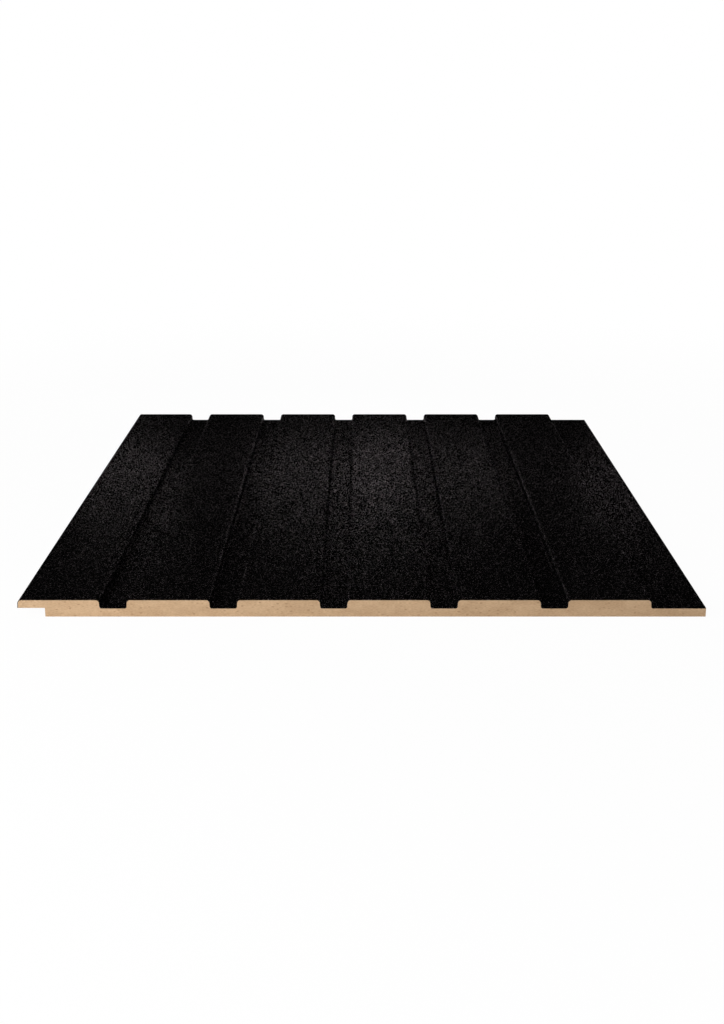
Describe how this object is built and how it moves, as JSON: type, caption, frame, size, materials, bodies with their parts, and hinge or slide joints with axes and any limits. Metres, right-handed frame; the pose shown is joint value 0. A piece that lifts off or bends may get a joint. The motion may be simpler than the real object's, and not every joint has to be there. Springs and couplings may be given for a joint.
{
  "type": "mdf wall panel",
  "caption": "Flat MDF wall panel with wide milled ribs and shallow grooves, faced with a black speckled film, and lapped along both long edges so that the ribs run on from panel to panel.",
  "frame": {"origin": "middle of the panel's footprint, on its back face", "axes": "+X across the ribs from the tongue to the lip, +Y along the ribs, +Z out of the wall"},
  "size_m": [0.2496, 0.3, 0.0065],
  "materials": {
    "mdf": "raw fibreboard, fine-sawn and sanded",
    "black_film": "matt black, fine-grained, with pale speckle"
  },
  "bodies": {
    "root": {"mdf_core": "mdf", "decor_film": "black_film"}
  },
  "joints": []
}
